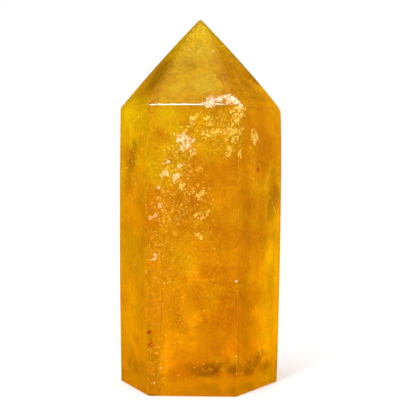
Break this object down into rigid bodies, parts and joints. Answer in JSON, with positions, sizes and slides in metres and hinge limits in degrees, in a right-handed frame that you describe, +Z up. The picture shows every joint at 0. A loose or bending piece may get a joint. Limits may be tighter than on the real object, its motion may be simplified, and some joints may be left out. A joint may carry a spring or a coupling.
{
  "type": "fluorite tower",
  "caption": "Polished see-through stone tower: a six-sided prism with a six-sided point and a flat sawn base, which stands as an ornament.",
  "frame": {"origin": "on the flat base, at the centre of the stone's outline seen from above", "axes": "+Z up along the prism towards the point, +X to the right and -Y towards the viewer of the front side"},
  "size_m": [0.0334, 0.0298, 0.0747],
  "materials": {
    "yellow_fluorite": "polished clear amber-yellow fluorite, greener towards one shoulder, with white healed cracks and cloudy veils inside"
  },
  "bodies": {
    "root": {"fluorite_tower": "yellow_fluorite"}
  },
  "joints": []
}
